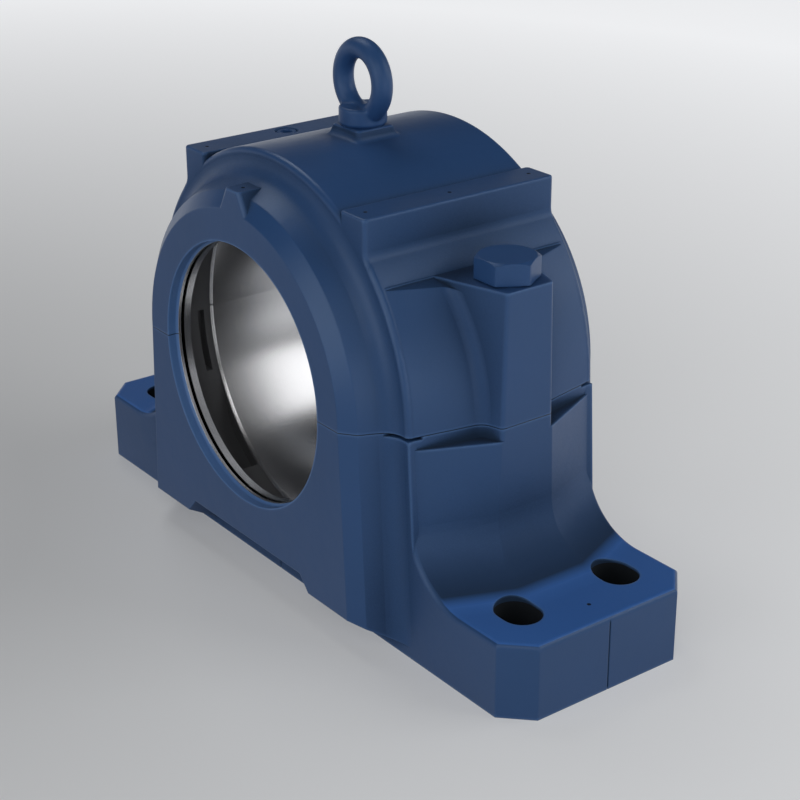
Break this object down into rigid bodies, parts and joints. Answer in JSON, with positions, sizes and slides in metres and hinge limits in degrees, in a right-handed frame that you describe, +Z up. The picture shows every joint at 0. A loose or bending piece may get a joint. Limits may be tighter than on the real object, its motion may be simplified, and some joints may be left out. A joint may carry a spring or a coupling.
{
  "type": "split plummer block",
  "caption": "Two-part cast plummer block housing with a bolted cap, seal bores, slotted foot, machined rails and a lifting eyebolt.",
  "frame": {"origin": "middle of the mounting face, under the shaft axis", "axes": "+X along the foot, +Y along the shaft with the shown front facing -Y, +Z up"},
  "size_m": [0.41, 0.169, 0.2966],
  "materials": {
    "casting": "satin blue paint over as-cast iron, bare machined seats inside",
    "bolts": "blue paint over steel",
    "pins": "ground steel",
    "eyebolt": "blue paint over forged steel",
    "plug": "blue paint over steel"
  },
  "bodies": {
    "root": {"base": "casting", "cap": "casting", "cap_bolt_right": "bolts", "cap_bolt_left": "bolts", "dowel_pin_right": "pins", "dowel_pin_left": "pins", "eyebolt": "eyebolt", "grease_plug": "plug"}
  },
  "joints": []
}
